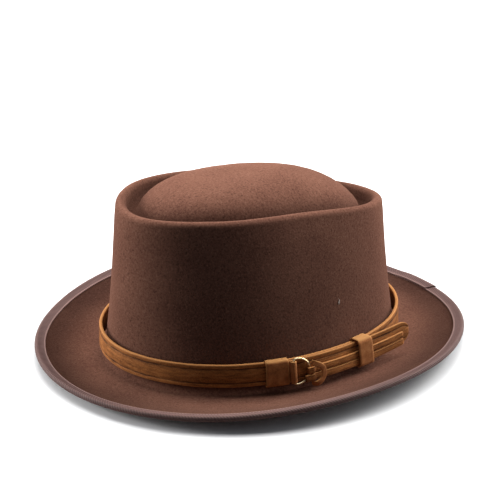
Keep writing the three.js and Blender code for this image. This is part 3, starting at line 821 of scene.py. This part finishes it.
# The turn of lace round both runs: along as shares of the ring's reach, high of the runs' height, and out
# from the tongue to over the runs.
wrap = {
    "along": [1.08, 1.2, 1.42, 1.58, 1.62, 1.54, 1.34, 1.14, 1.0],
    "high": [1.22, 1.2, 1.06, 0.8, 0.5, 0.18, -0.08, -0.2, -0.22],
    "out": [0, 0.8, 1, 1, 1, 1, 1, 0.8, 0],
    "steps": 49, "middle": 0.9, "half": 1.75, "corner": 0.5,
}


# Points on a smooth open curve through the values.
def smoothThrough(values, count):
    values = np.array([2 * values[0] - values[1], *values, 2 * values[-1] - values[-2]])
    step = np.linspace(0, len(values) - 3 - 1e-6, count)
    k = np.floor(step).astype(int)
    t = step - k
    a, b, c, d = (values[k + n] for n in range(4))
    square, cube = a - 2.5 * b + 2 * c - d / 2, -a / 2 + 1.5 * b - 1.5 * c + d / 2
    return b + t * (c - a) / 2 + t**2 * square + t**3 * cube


def makeWrap():
    runs = 2 * size["laceWidth"] + size["laceGroove"]
    along = smoothThrough(wrap["along"], wrap["steps"]) * size["ringReach"]
    high = smoothThrough(wrap["high"], wrap["steps"]) * runs
    out = smoothThrough(wrap["out"], wrap["steps"])
    inner = strapFace + tongueWall + 2 * gap
    outer = overRing + size["laceWall"] + gap
    middle = np.array([wrap["middle"] * size["ringReach"], runs / 2])
    rows, maps, length = [], [], 0
    for k in range(wrap["steps"]):
        centre = np.array([along[k], high[k]])
        side = centre - middle
        side /= np.linalg.norm(side)
        if k:
            length += math.hypot(along[k] - along[k - 1], high[k] - high[k - 1])
        back = inner + (outer - inner) * out[k]
        section = roundedSection(back, back + size["wrapThick"], -wrap["half"], wrap["half"], wrap["corner"])
        row = []
        for distance, across in section:
            point = centre + side * across
            row.append(onStrap(turnAlong(point[0]), distance, point[1]))
        rows.append(row)
        maps.append(mapAcross(length, section[:, 1], -wrap["half"], wrap["half"]))
    maps.append(maps[-1])
    return netPiece("laceWrap", np.array(rows), maps, nubuck, capEnds=True)


finishPiece(makeWrap(), "leather", "lace_wrap")

keeperStart = size["keeperAlong"] - size["keeperLength"] / 2
keeperOver = tongueWall + size["laceWall"] + 3 * gap + size["wrapWall"]
keeper = loop("keeperLoop", keeperStart, keeperStart + size["keeperLength"],
              lambda length: strapFace + standOff(length) + keeperOver, size["keeperExtra"],
              loops["keeperCorner"])
finishPiece(keeper, "leather", "keeper_loop")


# Geometry Nodes for a round wire along the edges of a mesh, with its radius, sides and material as inputs.
def wireTree():
    tree = bpy.data.node_groups.new("WireAlongPath", "GeometryNodeTree")
    tree.interface.new_socket("Geometry", in_out="INPUT", socket_type="NodeSocketGeometry")
    kinds = {"Wire radius": "NodeSocketFloat", "Sides": "NodeSocketInt", "Metal": "NodeSocketMaterial"}
    inputs = {}
    for name, kind in kinds.items():
        inputs[name] = tree.interface.new_socket(name, in_out="INPUT", socket_type=kind).identifier
    tree.interface.new_socket("Geometry", in_out="OUTPUT", socket_type="NodeSocketGeometry")
    given = add(tree, "NodeGroupInput").outputs
    path = add(tree, "GeometryNodeMeshToCurve", {"Mesh": given["Geometry"]})
    circle = add(tree, "GeometryNodeCurvePrimitiveCircle", {
        "Resolution": given["Sides"], "Radius": given["Wire radius"]})
    wire = add(tree, "GeometryNodeCurveToMesh", {"Curve": path, "Profile Curve": circle})
    real = add(tree, "GeometryNodeRealizeInstances", {"Geometry": wire})
    plated = add(tree, "GeometryNodeSetMaterial", {"Geometry": real, "Material": given["Metal"]})
    add(tree, "NodeGroupOutput", {"Geometry": plated})
    return tree, inputs


# Turns a piece with a modifier into its plain result, with its faces outwards.
def makePlain(piece):
    bpy.context.view_layer.update()
    mesh = bpy.data.meshes.new_from_object(piece.evaluated_get(bpy.context.evaluated_depsgraph_get()))
    piece.modifiers.clear()
    cleanMesh(mesh)
    piece.data = mesh
    return piece


# The D-shaped ring, with its straight bar in the tab's eye. Its corners are rounded through two angles.
ring = {"corner": 2.2, "cornerAngles": [0.5, 1.0], "flat": 0.6, "barSteps": 16, "bowSteps": 32, "sides": 14}


def makeRing():
    middle = size["strapWidth"] / 2
    tall = (size["ringHeight"] - size["ringWire"]) / 2
    reach = size["ringReach"] - size["ringWire"] / 2
    corner = ring["corner"]
    rounded = []
    for angle in ring["cornerAngles"]:
        height = tall - corner + corner * math.sin(angle)
        rounded.append((corner * (1 - math.cos(angle)) * ring["flat"], height))
    path = [(0, height) for height in np.linspace(-(tall - corner), tall - corner, ring["barSteps"])]
    path += rounded
    for k in range(ring["bowSteps"] + 1):
        angle = math.pi * (0.5 - k / ring["bowSteps"])
        path.append((corner + (reach - corner) * math.cos(angle), tall * math.sin(angle)))
    path += [(length, -height) for length, height in reversed(rounded)]
    centres = []
    for length, height in path:
        centres.append((onStrap(turnAlong(length), ringOut, middle + height) + offset) / 1000)
    mesh = bpy.data.meshes.new("dRing")
    count = len(centres)
    mesh.from_pydata([tuple(point) for point in centres], [(k, (k + 1) % count) for k in range(count)], [])
    piece = bpy.data.objects.new("dRing", mesh)
    bpy.context.scene.collection.objects.link(piece)
    wire = piece.modifiers.new("wire", "NODES")
    wire.node_group, inputs = wireTree()
    wire[inputs["Wire radius"]] = size["ringWire"] / 2000
    wire[inputs["Sides"]] = ring["sides"]
    wire[inputs["Metal"]] = gilt
    return makePlain(piece)


finishPiece(makeRing(), "gilt", "d_ring")
print("trim made")

# The ribbon's end, cut on a slant, which lies over its start at the back.
lap = {
    "steps": 60, "from": 171.2, "to": 187, "slant": 1.7, "narrower": 0.15, "clear": 0.06, "slope": 0.35,
    "mapFrom": 0.003, "mapLength": 0.042,
}


def makeLap():
    rows, maps = [], []
    for step in np.linspace(0, 1, lap["steps"]):
        turn = lap["from"] + (lap["to"] - lap["from"]) * step
        cover = coverAt(turn) - lap["narrower"]
        outline = foldOutline(size["lapRise"] * smoothStep(1 - step, 0, lap["slope"]) + lap["clear"], cover)
        skew = lap["slant"] * (outline[:, 0] / cover - 0.5) * (1 - step) * np.sign(outline[:, 1])
        rows.append([foldPoints(turn + s, outline[k:k + 1])[0] for k, s in enumerate(skew)])
        maps.append(mapRound(step * lap["mapLength"] + lap["mapFrom"], outline))
    return netPiece("ribbonLap", np.array(rows), [*maps, maps[-1]], ribbon, capEnds=True)


finishPiece(makeLap(), "ribbon")
print("ribbon's lap made")

# A speck of lint on the crown's wall, towards the back of the wearer's left side: a short curved thread.
lint = {
    "turn": 99, "height": 46, "length": 3.2, "thick": 0.35, "off": 0.35, "sway": 0.35, "swayRate": 5,
    "taper": 2.6, "steps": 9, "sides": 6,
}


def makeLint():
    angles = np.linspace(0, 2 * math.pi, lint["sides"], endpoint=False)
    rows = []
    for s in np.linspace(-0.5, 0.5, lint["steps"]):
        height = lint["height"] + s * lint["length"]
        turn = lint["turn"] + lint["sway"] * math.sin(s * lint["swayRate"])
        centre = place(turn, wallOut(turn, height) + lint["off"], height)
        thick = lint["thick"] * math.cos(s * lint["taper"])
        sideways = place(turn + 0.1, 0, 0) - place(turn, 0, 0)
        sideways /= np.linalg.norm(sideways)
        outward = place(turn, 1, 0) - place(turn, 0, 0)
        rows.append([centre + thick * (math.cos(a) * sideways + math.sin(a) * outward) for a in angles])
    uv = np.zeros((lint["steps"] + 1, lint["sides"] + 1, 2))
    return netPiece("lintSpeck", np.array(rows), uv, cotton, capEnds=True)


finishPiece(makeLint(), "felt")
print("lint made")

# Paper floor, in metres. It throws no light back on the hat, which would come out too pale.
floorHalf = 6
floorMesh = bpy.data.meshes.new("floor")
corners = [(-floorHalf, -floorHalf, 0), (floorHalf, -floorHalf, 0), (floorHalf, floorHalf, 0)]
floorMesh.from_pydata([*corners, (-floorHalf, floorHalf, 0)], [], [(0, 1, 2, 3)])
floorMesh.materials.append(makePaper())
floor = bpy.data.objects.new("floor", floorMesh)
bpy.context.scene.collection.objects.link(floor)
floor.visible_diffuse = False

# Faint cool light from all round.
surround = {"colour": (0.84, 0.9, 1, 1), "strength": 0.12}
world = bpy.data.worlds.new("Studio")
bpy.context.scene.world = world
world.use_nodes = True
background = world.node_tree.nodes["Background"]
background.inputs["Color"].default_value = surround["colour"]
background.inputs["Strength"].default_value = surround["strength"]


# A soft box that faces a point: where it stands, its width and height, and its power in watts.
def softBox(name, location, width, height, power, target=(0, 0, 0.06)):
    data = bpy.data.lights.new(name, "AREA")
    data.shape = "RECTANGLE"
    data.size, data.size_y = width, height
    data.energy = power
    lamp = bpy.data.objects.new(name, data)
    lamp.location = location
    lamp.rotation_euler = (Vector(target) - Vector(location)).to_track_quat("-Z", "Y").to_euler()
    bpy.context.scene.collection.objects.link(lamp)


# Directions in the picture: right is (0.6, 0.8), away from the camera is (-0.8, 0.6).
softBox("overhead", (-0.38, 0.28, 1.4), 1.2, 1.2, 25)
softBox("leftLow", (-0.9, -0.95, 0.35), 0.4, 0.5, 17)
softBox("leftBack", (-1.15, -0.45, 0.7), 0.5, 1.3, 10)
softBox("rightStrip", (0.4, 1.15, 0.7), 0.5, 1.3, 16)
softBox("rightBack", (0, 1.2, 0.7), 0.5, 1.3, 12)

# The camera that fits the photograph, in metres, degrees and millimetres.
view = {"location": (0.84371, -0.63816, 0.46865), "angles": (69.042, 0.3435, 52.8409), "lens": 122.795}
cameraData = bpy.data.cameras.new("camera")
cameraData.sensor_width = 36
cameraData.lens = view["lens"]
camera = bpy.data.objects.new("camera", cameraData)
camera.location = view["location"]
camera.rotation_euler = [math.radians(angle) for angle in view["angles"]]
bpy.context.scene.collection.objects.link(camera)
bpy.context.scene.camera = camera
bpy.context.scene.view_settings.view_transform = "Standard"
print("floor, light and camera made")
